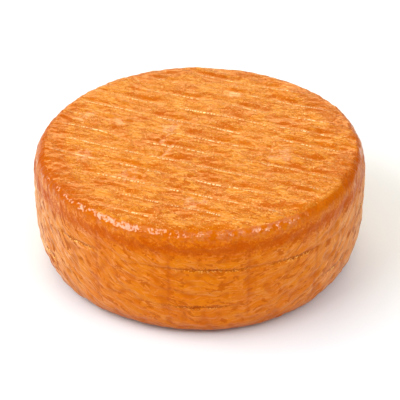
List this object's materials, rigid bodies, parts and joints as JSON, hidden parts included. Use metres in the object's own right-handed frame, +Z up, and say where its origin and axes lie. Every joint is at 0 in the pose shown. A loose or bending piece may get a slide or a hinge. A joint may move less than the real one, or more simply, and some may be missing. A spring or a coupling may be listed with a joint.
{
  "type": "washed-rind cheese wheel",
  "caption": "Whole round washed-rind cheese: a low wheel with a rolled shoulder, a bellied side, a flat base and draining-mat grooves on top.",
  "frame": {"origin": "middle of the base, on the surface that the wheel rests on", "axes": "+Z up along the wheel's axis, +X to the right and -Y towards the viewer of the pictured side"},
  "size_m": [0.1806, 0.1806, 0.0683],
  "materials": {
    "washed_rind": "moist, glossy orange rind, mottled and slightly translucent, with pale bloom streaks"
  },
  "bodies": {
    "root": {"cheese_wheel": "washed_rind"}
  },
  "joints": []
}
